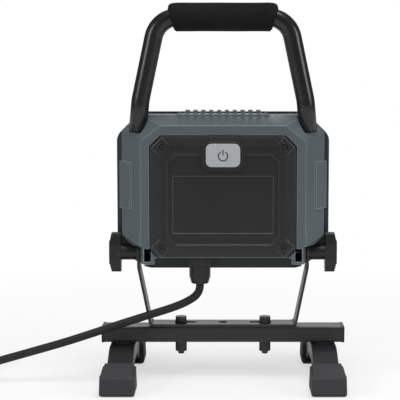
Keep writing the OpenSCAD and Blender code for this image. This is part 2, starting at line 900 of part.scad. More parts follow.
module reflector() {
    y0 = sink_y1 + board_t + 1.2;
    color([0.9, 0.9, 0.9])
    difference() {
        union() {
            slab(seat_outline(0.2), frame_y, frame_y + flange_t);
            hull() {
                slab(cut_box(seat_x - 9, seat_z0 + 9, seat_z1 - 9, [22, 22], [32, 32]), frame_y, frame_y + 0.1);
                slab(cut_box(board_x - 4, seat_mid - board_h + 3, seat_mid + board_h - 3, [4, 4], [4, 4]),
                    y0, y0 + 0.1);
            }
        }
        hull() {
            slab(cut_box(seat_x - 10.2, seat_z0 + 10.2, seat_z1 - 10.2, [22, 22], [32, 32]),
                frame_y + flange_t, frame_y + flange_t + 0.1);
            slab(cut_box(board_x - 5.2, seat_mid - board_h + 4.2, seat_mid + board_h - 4.2, [4, 4], [4, 4]),
                y0 - 0.1, y0);
        }
    }
}

module heat_sink() {
    color(c_alu)
    difference() {
        union() {
            slab(mirrored([[sink_x, sink_z0], [sink_x, leg_low.y - 18], [leg_low.x - 14, leg_low.y - 18],
                [leg_low.x - 14, sink_z1]]), sink_y0, sink_y1);
            for (i = [0:4])
                both()
                    translate([52 + i * 5, sink_y0 - 7, pivot_z + 44])
                        cube([1.6, 7.5, 42]);
        }
        for (x = [-post_x, post_x], z = post_zs)
            translate([x, 0, z])
                rod_y(sink_y0 - 1, sink_y1 + 1, 4.4);
        for (p = board_screw_at)
            translate([p.x, 0, p.y])
                rod_y(sink_y0 - 1, sink_y1 + 1, 3.1);
    }
}

module sink_screws() {
    color(c_zinc)
    for (x = [-post_x, post_x], z = post_zs)
        translate([x, sink_y1, z])
            pan_screw_y(3.5, 7.4, 2.4, 12);
}

board_screw_at = [
    for (x = [-1, 1], z = [-1, 1]) [x * (board_x - 4), seat_mid + z * (board_h - 4)]
];

module led_board() {
    color([0.92, 0.92, 0.9])
    difference() {
        slab(cut_box(board_x, seat_mid - board_h, seat_mid + board_h, [2, 2], [2, 2]), sink_y1, sink_y1 + board_t);
        for (p = board_screw_at)
            translate([p.x, 0, p.y])
                rod_y(sink_y1 - 1, sink_y1 + board_t + 1, 3.2);
    }
}

module led_chips() {
    color([0.95, 0.85, 0.3])
    for (i = [0:chip_cols - 1], j = [0:chip_rows - 1])
        translate([(i - (chip_cols - 1) / 2) * chip_pitch_x, sink_y1 + board_t + chip_t / 2,
            seat_mid + (j - (chip_rows - 1) / 2) * chip_pitch_z])
            cube([chip, chip_t, chip], center = true);
}

module board_screws() {
    color(c_zinc)
    for (p = board_screw_at)
        translate([p.x, sink_y1 + board_t, p.y])
            pan_screw_y(3, 5, 1, board_t + 2.6);
}

// ---- Rear cover and switch ----

function cover_outline(d) =
    cut_box(cover_x - d, cover_z0 + d, cover_z1 - d, [cover_cut - d * 0.5, cover_cut - d * 0.5],
        [cover_cut - d * 0.5, cover_cut - d * 0.5]);

function panel_outline(x, top, low, cut) =
    cut_box(x, cover_z0 + low, cover_z1 - top, [cut, cut], [cut, cut]);

module at_cover_screws() {
    for (x = [-screw_x, screw_x], z = screw_zs)
        translate([x, 0, z])
            children();
}

module rear_cover() {
    plate_y = seat_y - rubber_t;
    color(c_black)
    difference() {
        union() {
            slab(cover_outline(0), back_y - 0.4, plate_y);
            hull() {
                slab(cover_outline(0), back_y - 0.4, back_y - 0.3);
                slab(panel_outline(screw_x, 10, 7, 8.5), cover_y, cover_y + 0.1);
            }
            at_cover_screws()
                rotate([90, 45, 0])
                    translate([0, 0, -back_y])
                        linear_extrude(cover_out - 0.4)
                            square(screw_boss, center = true);
        }
        // sunk panel with sloped walls, and the flat field in it
        hull() {
            slab(panel_outline(screw_x - 4.4, 17.2, 12.2, 8.4), cover_y - 0.2, cover_y);
            slab(panel_outline(screw_x - 5.4, 18.2, 13.2, 8), cover_y, cover_y + panel_d);
        }
        hull() {
            slab(panel_outline(field_x + 0.4, 38.6, 23.6, 0.8), cover_y + panel_d - 0.1, cover_y + panel_d);
            slab(panel_outline(field_x, 39, 24, 0.4), cover_y, cover_y + panel_d + 0.6);
        }
        // hollow back
        slab(cut_box(mouth_x - 4, mouth_z0 + 4, button_z - bezel_h / 2 - 4, [1, 1], [mouth_cut, mouth_cut]),
            plate_y - 2.4, plate_y + 1);
        translate([0, 0, button_z])
            slab(round_box(bezel_w - 3, bezel_h - 3, 8), cover_y - 1, plate_y + 1);
        at_cover_screws() {
            rod_y(cover_y - 1, plate_y + 1, 4.4);
            rod_y(cover_y - 1, back_y + 0.8, 7.5);
        }
    }
}

module cover_gasket() {
    color(c_rubber)
    difference() {
        slab(cover_outline(0.6), seat_y - rubber_t, seat_y);
        slab(cut_box(mouth_x - 0.5, mouth_z0 - 0.5, mouth_z1 + 0.5, [mouth_cut, mouth_cut], [mouth_cut, mouth_cut]),
            seat_y - 3, seat_y + 1);
        at_cover_screws()
            rod_y(seat_y - 3, seat_y + 1, 4.4);
    }
}

module cover_screws() {
    color(c_steel)
    at_cover_screws()
        translate([0, back_y + 0.8, 0])
            mirror([0, 1, 0])
                difference() {
                    pan_screw_y(3.5, 6.8, 2, 10);
                    rod_y(0.8, 3, 3, $fn = 6);
                }
}

// Rubber surround of the switch, with a flange inside and outside
module switch_bezel() {
    color(c_black)
    translate([0, 0, button_z])
        difference() {
            union() {
                slab(round_box(bezel_w, bezel_h, 9.4), cover_y - 0.9, cover_y - 0);
                slab(round_box(bezel_w - 4.4, bezel_h - 4.4, 7.4), cover_y - 1.6, cover_y - 0.8);
                slab(round_box(bezel_w - 3.4, bezel_h - 3.4, 7.8), cover_y - 0.1, back_y + 4);
            }
            slab(round_box(button_w + 2 * button_gap, button_h + 2 * button_gap, button_r + button_gap),
                cover_y - 3, button_y + cap_t + button_travel + 1);
            slab(round_box(button_w - 5, button_h - 5, 4), cover_y - 3, back_y + 5);
        }
}

module switch_button() {
    color([0.62, 0.62, 0.62])
    translate([0, 0, button_z])
        union() {
            slab(round_box(button_w, button_h, button_r), button_y, button_y + cap_t);
            rod_y(button_y + cap_t - 0.1, switch_y0 + 1.2, 6);
        }
}

// Return spring around the button's stem
module switch_spring() {
    y0 = button_y + cap_t;
    color(c_zinc)
    translate([0, 0, button_z])
        difference() {
            rod_y(y0 + 0.1, switch_y0 - 0.1, 9.4);
            rod_y(y0 - 1, switch_y0 + 1, 7);
        }
}

switch_y0 = button_y + cap_t + button_travel + 2.7;

module switch_body() {
    color([0.2, 0.2, 0.2])
    translate([0, 0, button_z])
        difference() {
            union() {
                slab(round_box(27, 17, 4, 3), switch_y0, switch_y0 + 9);
                slab(round_box(bezel_w + 2, 10, 1.5, 2), seat_y - 0.4, switch_y0 + 5);
                for (x = [-8, 0, 8])
                    translate([x - 2.4, switch_y0 + 9, -0.4])
                        cube([4.8, 5, 0.8]);
            }
            rod_y(switch_y0 - 1, switch_y0 + 6, 6.4);
        }
}

// ---- Electronics ----

driver_y = -9;
driver_z = pivot_z + 44;
terminal_y = driver_y - 6.1;

module driver_board() {
    color([0.1, 0.35, 0.2])
    union() {
        slab(cut_box(46, driver_z - 24, driver_z + 24, [1, 1], [1, 1]), driver_y - 1.6, driver_y);
        for (x = [-42, 42], z = [-20, 20])
            translate([x, 0, driver_z + z])
                rod_y(driver_y - 0.1, sink_y0, 5);
    }
}

module driver_coil() {
    color([0.75, 0.6, 0.1])
    union() {
        translate([-22, driver_y - 1.6 - 6, driver_z + 4])
            cube([20, 12, 22], center = true);
        translate([2, driver_y - 1.6 - 4.5, driver_z + 8])
            cube([10, 9, 12], center = true);
    }
}

module driver_capacitors() {
    color([0.15, 0.2, 0.4])
    for (p = [[18, 8, 12], [31, 8, 12], [18, -9, 9], [31, -9, 9]])
        translate([p.x, 0, driver_z + p.y])
            rod_y(driver_y - 1.6 - p.z + 3, driver_y - 1.6, 10);
}

module terminal_block() {
    color([0.85, 0.85, 0.82])
    translate([gland_x, terminal_y, driver_z - 15])
        difference() {
            cube([24, 9, 11], center = true);
            for (x = [-7.5, 0, 7.5])
                translate([x, 0, 0])
                    rod_y(-6, -1, 3.4);
        }
}

// Three cores from the cable's end to the terminals
module lead_wires() {
    z0 = tail_z1;
    z1 = driver_z - 20.5;
    for (i = [-1, 0, 1])
        color([[0.4, 0.25, 0.12], [0.3, 0.6, 0.2], [0.15, 0.3, 0.7]][i + 1])
        swept([[gland_x + i * 2.4, gland_y, z0], [gland_x + i * 2.4, gland_y, z0 + 2],
            [gland_x + i * 4.5, terminal_y + 2, (z0 + z1) / 2],
            [gland_x + i * 6.5, terminal_y, z1 - 2], [gland_x + i * 6.5, terminal_y, z1]], 2, [0, 1, 0], 8);
}

// ---- Handle ----

// Middle line of the handle, from one end over the top to the other
handle_line = mirrored(concat(
    [[handle_straight(), handle_top]],
    corner([0, handle_top], [leg_top_x, handle_top], leg_mid, handle_bend, 8),
    corner([leg_top_x, handle_top], leg_mid, leg_low, 60, 2),
    [leg_low]
));

function handle_straight() =
    leg_top_x - handle_bend * tan(45 - atan2(leg_mid.x - leg_top_x, handle_top - leg_mid.y) / 2) - 2;

module handle_tube() {
    color(c_black)
    difference() {
        swept([for (p = handle_line) [p.x, handle_y, p.y]], handle_d, [0, 1, 0], 24, handle_d - 3);
        both()
            translate([leg_low.x, handle_y, leg_low.y + 5])
                rod_y(0, 12, 3.6);
    }
}

// Foam sleeve, its bore opened out where the tube starts to bend
module grip_foam() {
    bore = handle_d + 2 * run_gap;
    end = grip_l / 2;
    droop = handle_bend - sqrt(pow(handle_bend, 2) - pow(end - handle_straight(), 2));
    color([0.07, 0.07, 0.07])
    translate([0, handle_y, handle_top])
        difference() {
            rod_x(-end, end, grip_d);
            rod_x(-end - 1, end + 1, bore);
            both()
                rod_x(handle_straight(), end + 1, bore + 2 * droop);
        }
}

module handle_screws() {
    color(c_zinc)
    both()
        translate([leg_low.x, 0.5, leg_low.y + 5])
            pan_screw_y(3.5, 7, 2.4, 16);
}

// ---- Gland and cable ----

module at_gland(z) {
    translate([gland_x, gland_y, z])
        children();
}

module gland_body() {
    color(c_black)
    at_gland(0)
        difference() {
            union() {
                translate([0, 0, gland_z1])
                    rotate([0, 0, 30])
                        hexagon(gland_af, gland_hex_t);
                translate([0, 0, floor_z - 0.1])
                    cylinder(h = wall + lock_t + 2, d = gland_thread);
                translate([0, 0, gland_z1 - 7])
                    cylinder(h = 8, d = gland_thread - 0.4);
            }
            translate([0, 0, gland_z1 - 8])
                cylinder(h = 40, d = cord_d + 0.6);
            translate([0, 0, gland_z1 - 8])
                cylinder(h = 12, d = cord_d + 4.4);
        }
}

module gland_locknut() {
    color(c_black)
    at_gland(floor_z + wall)
        difference() {
            hexagon(lock_af, lock_t);
            translate([0, 0, -1])
                cylinder(h = lock_t + 2, d = gland_thread + 2 * run_gap);
        }
}

module gland_seal() {
    color([0.3, 0.1, 0.08])
    at_gland(gland_z1 - 7)
        difference() {
            cylinder(h = 10.6, d = cord_d + 4.2);
            translate([0, 0, -1])
                cylinder(h = 14, d = cord_d + 2 * run_gap);
        }
}

module gland_cap() {
    color(c_black)
    at_gland(0)
        difference() {
            union() {
                translate([0, 0, gland_z2])
                    cylinder(h = gland_cap_t - 0.2, d = gland_cap_d - 0.6);
                for (k = [0:11])
                    rotate([0, 0, k * 30])
                        translate([gland_cap_d / 2 - 0.8, 0, gland_z2 + 1])
                            cylinder(h = gland_cap_t - 2.2, r = 1.1, $fn = 12);
                translate([0, 0, gland_z3])
                    cylinder(h = gland_tip_t, d1 = gland_tip_d, d2 = gland_cap_d - 0.6);
            }
            translate([0, 0, gland_z2 + 5])
                cylinder(h = gland_cap_t, d = gland_thread);
            translate([0, 0, gland_z3 - 1])
                cylinder(h = 20, d = cord_d + 1.2);
        }
}

// End of the cable inside the gland and the housing
module cord_tail() {
    color(c_rubber)
    at_gland(gland_z3)
        cylinder(h = tail_z1 - gland_z3, d = cord_d);
}

module cord_lead() {
    color(c_rubber)
    swept(cord_route, cord_d, [0, 1, 0]);
}

module cord_coil() {
    color(c_rubber)
    translate([coil_at.x, coil_at.y, 0])
        rotate_extrude($fn = 64)
            translate([coil_r, coil_h / 2])
                polygon(round_box(coil_w, coil_h, 7, 3));
}

module cord_end() {
    color(c_rubber)
    swept(cord_tip, cord_d, [0, 0, 1]);
}

// Hook and loop tie around the coil
module cord_tie() {
    color(c_black)
    translate([coil_at.x, coil_at.y, 0])
        rotate([0, 0, -135])
            translate([coil_r, 0, coil_h / 2])
                rotate([90, 0, 0])
                    translate([0, 0, -8])
                        linear_extrude(16)
                            difference() {
                                polygon(round_box(coil_w + 3, coil_h, 8));
                                polygon(round_box(coil_w + 0.2, coil_h - 2.8, 7));
                            }
}

module plug_body() {
    color(c_rubber)
    translate(plug_at)
        rotate([-90, 0, 0])
            difference() {
                rotate_extrude($fn = 64)
                    polygon([[0, 0], [6, 0], [7, sleeve_l * 0.6], [9, sleeve_l], [14, sleeve_l + 5],
                        [plug_r - 1, sleeve_l + 12], [plug_r, sleeve_l + 16], [plug_r, sleeve_l + plug_l],
                        [0, sleeve_l + plug_l]]);
                for (x = [-pin_x, pin_x])
                    translate([x, 0, sleeve_l + plug_l - 8])
                        cylinder(h = 10, d = pin_d + 2 * run_gap);
                for (s = [-1, 1])
                    translate([0, s * plug_r, sleeve_l + plug_l - 12])
                        cube([7, 5, 26], center = true);
            }
}

module plug_pins() {
    color(c_zinc)
    translate(plug_at)
        rotate([-90, 0, 0])
            for (x = [-pin_x, pin_x])
                translate([x, 0, sleeve_l + plug_l - 7.5])
                    cylinder(h = pin_l + 7.5, d = pin_d);
}

crossbar();
bar_plugs();
leg_left();
leg_right();
foot_cap_left_rear();
foot_cap_left_front();
foot_cap_right_rear();
foot_cap_right_front();
leg_spacers();
leg_bolts();
leg_nuts();
bracket();
bracket_bolts();
bracket_washers();
bracket_nuts();
knob_left();
knob_right();
knob_stud_left();
knob_stud_right();
pivot_washers();
pivot_nuts();
rear_housing();
front_frame();
frame_screws();
front_glass();
glass_gasket();
reflector();
led_board();
led_chips();
board_screws();
heat_sink();
sink_screws();
rear_cover();
cover_gasket();
cover_screws();
switch_bezel();
switch_button();
switch_spring();
switch_body();
driver_board();
driver_coil();
driver_capacitors();
terminal_block();
lead_wires();
handle_tube();
grip_foam();
handle_screws();
gland_body();
gland_locknut();
gland_seal();
gland_cap();
cord_tail();
cord_lead();
cord_coil();
cord_end();
cord_tie();
plug_body();
plug_pins();
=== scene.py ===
import json
import math
import bpy
from mathutils import Matrix, Vector, noise


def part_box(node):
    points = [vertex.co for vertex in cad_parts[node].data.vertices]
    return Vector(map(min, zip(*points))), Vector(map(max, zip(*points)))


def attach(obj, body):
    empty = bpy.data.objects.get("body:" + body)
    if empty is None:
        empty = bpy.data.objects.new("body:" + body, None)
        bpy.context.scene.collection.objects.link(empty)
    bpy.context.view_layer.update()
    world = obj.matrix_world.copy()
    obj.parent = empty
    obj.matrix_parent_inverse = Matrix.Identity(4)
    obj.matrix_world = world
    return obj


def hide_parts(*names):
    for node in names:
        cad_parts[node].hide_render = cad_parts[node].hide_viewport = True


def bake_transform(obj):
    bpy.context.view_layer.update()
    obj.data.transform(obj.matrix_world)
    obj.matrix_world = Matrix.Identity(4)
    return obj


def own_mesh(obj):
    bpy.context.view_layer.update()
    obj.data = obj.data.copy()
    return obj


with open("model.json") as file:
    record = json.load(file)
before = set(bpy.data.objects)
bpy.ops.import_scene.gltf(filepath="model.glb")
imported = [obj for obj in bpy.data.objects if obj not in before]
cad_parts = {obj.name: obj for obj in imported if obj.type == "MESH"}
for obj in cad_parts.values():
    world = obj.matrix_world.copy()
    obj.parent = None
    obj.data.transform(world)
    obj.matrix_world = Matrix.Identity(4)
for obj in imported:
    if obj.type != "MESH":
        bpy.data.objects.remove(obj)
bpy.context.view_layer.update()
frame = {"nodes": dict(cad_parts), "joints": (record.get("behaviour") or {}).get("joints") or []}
nodes = frame["nodes"]
tilt = next(j for j in frame["joints"] if j["name"] == "head_tilt")
pivot = Vector(tilt["pos_m"])
mm = 0.001
print("frame loaded")


def middle(node):
    low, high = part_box(node)
    return (low + high) / 2


# ---- camera ----

camera = {
    "distance": 1.19,  # from the camera to the tilt axis, along y
    "height": 0.292,
    "pitchDown": 5.37,  # degrees
    "lens": 106.7,
    "shift": -0.0575,  # the light stands a little right of the middle
}


def makeCamera():
    data = bpy.data.cameras.new("camera")
    data.lens = camera["lens"]
    data.sensor_width = 36
    data.shift_x = camera["shift"]
    data.clip_start = 0.05
    data.clip_end = 50
    made = bpy.data.objects.new("camera", data)
    made.location = (0, -camera["distance"], camera["height"])
    made.rotation_euler = (math.radians(90 - camera["pitchDown"]), 0, 0)
    bpy.context.scene.collection.objects.link(made)
    bpy.context.scene.camera = made


makeCamera()
print("camera placed")


# ---- mesh helpers ----

def addMesh(name, points, faces, finish=None, smooth=True):
    mesh = bpy.data.meshes.new(name)
    mesh.from_pydata([tuple(p) for p in points], [], faces)
    mesh.validate()
    if smooth:
        mesh.polygons.foreach_set("use_smooth", [True] * len(mesh.polygons))
    mesh.update()
    made = bpy.data.objects.new(name, mesh)
    bpy.context.scene.collection.objects.link(made)
    if finish:
        mesh.materials.append(finish)
    return made


def smoothRoute(route, steps):
    # a curve through every point of the route
    dots = [2 * route[0] - route[1]] + route + [2 * route[-1] - route[-2]]
    line = []
    for i in range(1, len(dots) - 2):
        a, b, c, d = dots[i - 1:i + 3]
        for k in range(steps):
            t = k / steps
            line.append(0.5 * (2 * b + (c - a) * t + (2 * a - 5 * b + 4 * c - d) * t ** 2
                               + (3 * b - a - 3 * c + d) * t ** 3))
    return line + [route[-1]]


def lengthAlong(line):
    run = [0.0]
    for a, b in zip(line, line[1:]):
        run.append(run[-1] + (b - a).length)
    return run


def sweep(name, line, radius, sides, finish=None, caps=True, shape=None):
    # round skin along a line; radius is a number or one for each point, and shape scales it by point and angle
    count = len(line)
    radii = radius if isinstance(radius, list) else [radius] * count
    ways = [(line[min(i + 1, count - 1)] - line[max(i - 1, 0)]).normalized() for i in range(count)]
    side = ways[0].orthogonal().normalized()
    points, faces = [], []
    for i, way in enumerate(ways):
        side = (side - way * side.dot(way)).normalized()
        up = way.cross(side)
        for k in range(sides):
            angle = 2 * math.pi * k / sides
            out = (side * math.cos(angle) + up * math.sin(angle)) * radii[i]
            points.append(line[i] + out * (shape(line[i], angle) if shape else 1))
    for i in range(count - 1):
        for k in range(sides):
            a, b = i * sides + k, i * sides + (k + 1) % sides
            faces.append((a, b, b + sides, a + sides))
    if caps:
        faces.append(tuple(range(sides))[::-1])
        faces.append(tuple(range((count - 1) * sides, count * sides)))
    made = addMesh(name, points, faces, finish)
    run = lengthAlong(line)
    along = made.data.attributes.new("along", "FLOAT", "POINT")
    along.data.foreach_set("value", [run[i] for i in range(count) for _ in range(sides)])
    return made


def arcAt(a, b, c, radius, steps):
    # points of the arc that rounds the corner b between a and c
    u, v = (a - b).normalized(), (c - b).normalized()
    half = u.angle(v) / 2
    centre = b + (u + v).normalized() * radius / math.sin(half)
    start = b + u * radius / math.tan(half) - centre
    axis = u.cross(v).normalized()
    turn = -(math.pi - 2 * half)
    return [centre + Matrix.Rotation(turn * k / steps, 3, axis) @ start for k in range(steps + 1)]


# ---- cable ----

cable = {
    "diameter": 0.008,
    "length": 2.6,  # of which about 0.3 m runs from the gland to the coil
    "sides": 16,
    "coilMiddle": (-0.304, 0.027),
    # the nine places of the turns in the coil, as radius and height
    "turns": [(52, 4), (52, 12), (44, 12), (44, 4), (36, 4), (36, 12), (36, 20), (44, 20), (52, 20)],
    "turnAngle": 330,  # degrees spent in each place, the last part of it moving to the next
    "shiftAngle": 28,
    "stepAngle": 10,
}
leadRoute = [
    (-23.2, -10, 97.4), (-23.2, -10, 94), (-24.4, -10.7, 88.9), (-28, -12.1, 84.2),
    (-33.5, -13.6, 80.6), (-41, -15.2, 77), (-51, -17, 73.4), (-62, -18.4, 70),
    (-75, -19.6, 66.1), (-90, -20.6, 61.5), (-105, -21.5, 56.8), (-121, -22.3, 51.6),
    (-137, -23, 46.4), (-154, -23.6, 41), (-171, -24.1, 36), (-188, -24.5, 31.2),
    (-205, -24.8, 26.4), (-222, -25, 21.6), (-239, -25, 16.6), (-255, -25, 11.6),
    (-269, -25, 7.4), (-283, -25, 4.8), (-298, -25, 4.1)
]
tipRoute = [
    (-356, 27, 20), (-356.4, 36, 20.2), (-357, 45, 20.1), (-358, 53, 19.6), (-359, 60, 19.2), (-360, 66, 19)
]


def coilLine():
    places = cable["turns"]
    line = []
    total = cable["turnAngle"] * len(places)
    for k in range(int(total / cable["stepAngle"])):
        gone = k * cable["stepAngle"]
        at = int(gone // cable["turnAngle"])
        left = cable["turnAngle"] - (gone - at * cable["turnAngle"])
        share = max(0.0, 1 - left / cable["shiftAngle"])
        share = share * share * (3 - 2 * share)
        r, z = Vector(places[at]).lerp(Vector(places[min(at + 1, len(places) - 1)]), share)
        angle = math.radians(-90 - gone)
        x, y = cable["coilMiddle"]
        line.append(Vector((x + r * mm * math.cos(angle), y + r * mm * math.sin(angle), z * mm)))
    return line


def cableLine():
    lead = [Vector(p) * mm for p in leadRoute]
    tip = [Vector(p) * mm for p in tipRoute]
    return smoothRoute(lead, 3) + coilLine() + smoothRoute(tip, 3)


def makeCable(finish):
    line = cableLine()
    made = sweep("mainsCable", line, cable["diameter"] / 2, cable["sides"], finish)
    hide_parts("cord_lead", "cord_coil", "cord_end")
    return made, line


print("cable route ready,", round(lengthAlong(cableLine())[-1], 3), "m")


# ---- finishes ----

def paint(red, green, blue):
    # colour as written on a 0 to 255 scale, in the linear values that the shader wants
    parts = [c / 255 for c in (red, green, blue)]
    return tuple(c / 12.92 if c < 0.04045 else ((c + 0.055) / 1.055) ** 2.4 for c in parts) + (1.0,)


class Wire:  # a node's output, ready for sums
    def __init__(self, finish, socket):
        self.finish = finish
        self.socket = socket

    def sum(self, operation, a, b):
        return self.finish.node("Math", {"operation": operation}, {0: a, 1: b})

    def __add__(self, other):
        return self.sum("ADD", self, other)

    def __sub__(self, other):
        return self.sum("SUBTRACT", self, other)

    def __rsub__(self, other):
        return self.sum("SUBTRACT", other, self)

    def __mul__(self, other):
        return self.sum("MULTIPLY", self, other)

    def __pow__(self, other):
        return self.sum("POWER", self, other)

    __radd__ = __add__
    __rmul__ = __mul__


class Finish:  # one material and its nodes
    def __init__(self, name, **constants):
        self.material = bpy.data.materials.new(name)
        self.material.use_nodes = True
        self.tree = self.material.node_tree
        self.shader = self.tree.nodes["Principled BSDF"]
        for socket, value in constants.items():
            self.shader.inputs[socket.replace("_", " ")].default_value = value
        self.place = self.node("TexCoord", out="Object")

    def node(self, kind, settings=None, inputs=None, out=0):
        made = self.tree.nodes.new("ShaderNode" + kind)
        for key, value in (settings or {}).items():
            if key == "stops":
                self.setStops(made.color_ramp, value)
            else:
                setattr(made, key, value)
        for key, value in (inputs or {}).items():
            self.feed(made.inputs[key], value)
        return Wire(self, made.outputs[out])

    def setStops(self, ramp, stops):
        while len(ramp.elements) < len(stops):
            ramp.elements.new(0.5)
        for element, (at, colour) in zip(ramp.elements, stops):
            element.position = at
            element.color = colour if isinstance(colour, tuple) else (colour, colour, colour, 1)

    def feed(self, socket, value):
        if isinstance(value, Wire):
            self.tree.links.new(value.socket, socket)
        else:
            socket.default_value = value

    def noise(self, scale, detail=2, rough=0.5, place=None):
        # the scale is the number of blotches in a metre
        return self.node("TexNoise", None, {"Vector": place or self.place, "Scale": scale,
                         "Detail": detail, "Roughness": rough})

    def ramp(self, value, stops):
        return self.node("ValToRGB", {"stops": stops}, {0: value})

    def mixed(self, share, a, b):
        return self.node("Mix", {"data_type": "RGBA"}, {0: share, 6: a, 7: b}, out=2)

    def stretched(self, x, y, z):
        return self.node("VectorMath", {"operation": "MULTIPLY"}, {0: self.place, 1: (x, y, z)})

    def bump(self, height, distance, base=None):
        bumped = self.node("Bump", None, {"Height": height, "Distance": distance})
        if base:
            self.feed(bumped.socket.node.inputs["Normal"], base)
        self.feed(self.shader.inputs["Normal"], bumped)

    def rounded(self, radius):
        # a normal that rounds the edges, and how far it leans from the flat one there, which also masks the painted
        # edge highlight
        soft = self.node("Bevel", {"samples": 6}, {"Radius": radius})
        flat = self.node("NewGeometry", out="Normal")
        agree = self.node("VectorMath", {"operation": "DOT_PRODUCT"}, {0: soft, 1: flat}, out="Value")
        return soft, self.ramp(agree, [(0.93, 1.0), (0.998, 0.0)])

    def show(self, colour=None, roughness=None, **others):
        if colour is not None:
            self.feed(self.shader.inputs["Base Color"], colour)
        if roughness is not None:
            self.feed(self.shader.inputs["Roughness"], roughness)
        for socket, value in others.items():
            self.feed(self.shader.inputs[socket.replace("_", " ")], value)
        return self.material


# the edge colour of each coat is a painted highlight laid on its rounded edges
coats = {
    "slate": {"colour": paint(72, 82, 87), "pale": paint(88, 98, 102), "edge": paint(150, 160, 164), "rough": 0.4,
              "grain": 1500, "depth": 0.00005, "round": 0.0013},
    "frame": {"colour": paint(38, 45, 44), "pale": paint(48, 56, 54), "edge": paint(84, 94, 92), "rough": 0.42,
              "grain": 1500, "depth": 0.00005, "round": 0.001},
    "stand": {"colour": paint(27, 27, 29), "pale": paint(36, 36, 39), "edge": paint(92, 92, 96), "rough": 0.36,
              "grain": 700, "depth": 0.00003, "round": 0.001},
    "tube": {"colour": paint(24, 24, 25), "pale": paint(31, 31, 32), "edge": paint(60, 60, 62), "rough": 0.27,
             "grain": 450, "depth": 0.00002, "round": 0.0008},
}


def powderCoat(name, look):
    # sprayed powder: fine orange peel, faint cloudiness, and a painted highlight that colours the edges paler
    finish = Finish(name, Specular_IOR_Level=0.45)
    peel = finish.noise(look["grain"], 3, 0.6)
    clouds = finish.noise(14, 3, 0.55)
    soft, edge = finish.rounded(look["round"])
    speck = finish.ramp(finish.noise(look["grain"] * 0.6, 1), [(0.62, 0.0), (0.72, 1.0)])
    tone = finish.mixed(clouds * 0.45, look["colour"], look["pale"])
    tone = finish.mixed(speck * 0.25, tone, look["pale"])
    # painted highlight: the edges are coloured paler
    tone = finish.mixed(edge * 0.6, tone, look["edge"])
    finish.bump(peel, look["depth"], soft)
    return finish.show(tone, look["rough"] - 0.05 + clouds * 0.1 - edge * 0.1)


# the edge colour of each moulding is a painted highlight laid on its rounded edges
mouldings = {
    "cover": {"colour": paint(27, 27, 28), "pale": paint(36, 36, 37), "edge": paint(104, 105, 108), "rough": 0.4,
              "grain": 2600, "depth": 0.00006, "round": 0.0009},
    "black": {"colour": paint(25, 25, 26), "pale": paint(35, 35, 36), "edge": paint(74, 74, 77), "rough": 0.44,
              "grain": 2000, "depth": 0.00004, "round": 0.0008},
    "bezel": {"colour": paint(15, 15, 16), "pale": paint(22, 22, 23), "edge": paint(90, 90, 93), "rough": 0.5,
              "grain": 1800, "depth": 0.00003, "round": 0.0007},
    "button": {"colour": paint(158, 161, 165), "pale": paint(170, 173, 176), "edge": paint(196, 198, 200),
               "rough": 0.5, "grain": 2200, "depth": 0.00003, "round": 0.0009},
    "ivory": {"colour": paint(205, 204, 196), "pale": paint(216, 215, 209), "edge": paint(226, 225, 220),
              "rough": 0.45, "grain": 1500, "depth": 0.00002, "round": 0.0004},
}


def moulded(name, look):
    # spark-eroded mould surface: fine leathery grain over faint flow marks, with a painted highlight on the edges
    finish = Finish(name, Specular_IOR_Level=0.4)
    grain = finish.node("TexVoronoi", {"feature": "SMOOTH_F1"}, {"Vector": finish.place, "Scale": look["grain"]})
    flow = finish.noise(1, 3, 0.5, finish.stretched(22, 22, 7))
    soft, edge = finish.rounded(look["round"])
    tone = finish.mixed(flow * 0.5, look["colour"], look["pale"])
    # painted highlight: the edges are coloured paler
    tone = finish.mixed(edge * 0.6, tone, look["edge"])
    finish.bump(grain, look["depth"], soft)
    return finish.show(tone, look["rough"] - 0.06 + flow * 0.12 - edge * 0.1)


rubbers = {
    "foot": {"colour": paint(50, 50, 53), "pale": paint(66, 66, 69), "rough": 0.72, "grain": 900, "depth": 0.0001},
    "seal": {"colour": paint(22, 22, 23), "pale": paint(32, 32, 33), "rough": 0.75, "grain": 900, "depth": 0.00005},
    "plug": {"colour": paint(26, 26, 27), "pale": paint(36, 36, 37), "rough": 0.6, "grain": 1400, "depth": 0.00006},
}


def rubber(name, look):
    # soft rubber: chalky bloom in clouds and a pitted skin
    finish = Finish(name, Specular_IOR_Level=0.35)
    bloom = finish.noise(34, 4, 0.62)
    pits = finish.noise(look["grain"], 4, 0.7)
    dust = finish.ramp(finish.noise(260, 5, 0.7), [(0.52, 0.0), (0.75, 1.0)])
    tone = finish.mixed(bloom * 0.6, look["colour"], look["pale"])
    tone = finish.mixed(dust * 0.16, tone, look["pale"])
    finish.bump(pits, look["depth"])
    return finish.show(tone, look["rough"] + bloom * 0.1)


foam = {"colour": paint(21, 20, 20), "pale": paint(42, 40, 39), "cells": 1500, "depth": 0.00022}


def foamSkin():
    # closed-cell foam: small open pores coloured darker as painted shade, dull, with rubbed paler patches
    finish = Finish("gripFoam", Specular_IOR_Level=0.2)
    cells = finish.node("TexVoronoi", {"feature": "F1"}, {"Vector": finish.place, "Scale": foam["cells"]})
    swell = finish.noise(120, 3, 0.6)
    rubbed = finish.ramp(finish.noise(26, 4, 0.6), [(0.4, 0.0), (0.7, 1.0)])
    pores_and_painted_shade = finish.ramp(cells, [(0.1, 0.0), (0.5, 1.0)])
    # painted shade: the pore hollows are coloured near black
    tone = finish.mixed(pores_and_painted_shade * 0.7, paint(11, 10, 10), foam["colour"])
    tone = finish.mixed(rubbed * 0.35, tone, foam["pale"])
    finish.bump(pores_and_painted_shade + swell * 0.8, foam["depth"])
    return finish.show(tone, 0.9 + rubbed * 0.06)


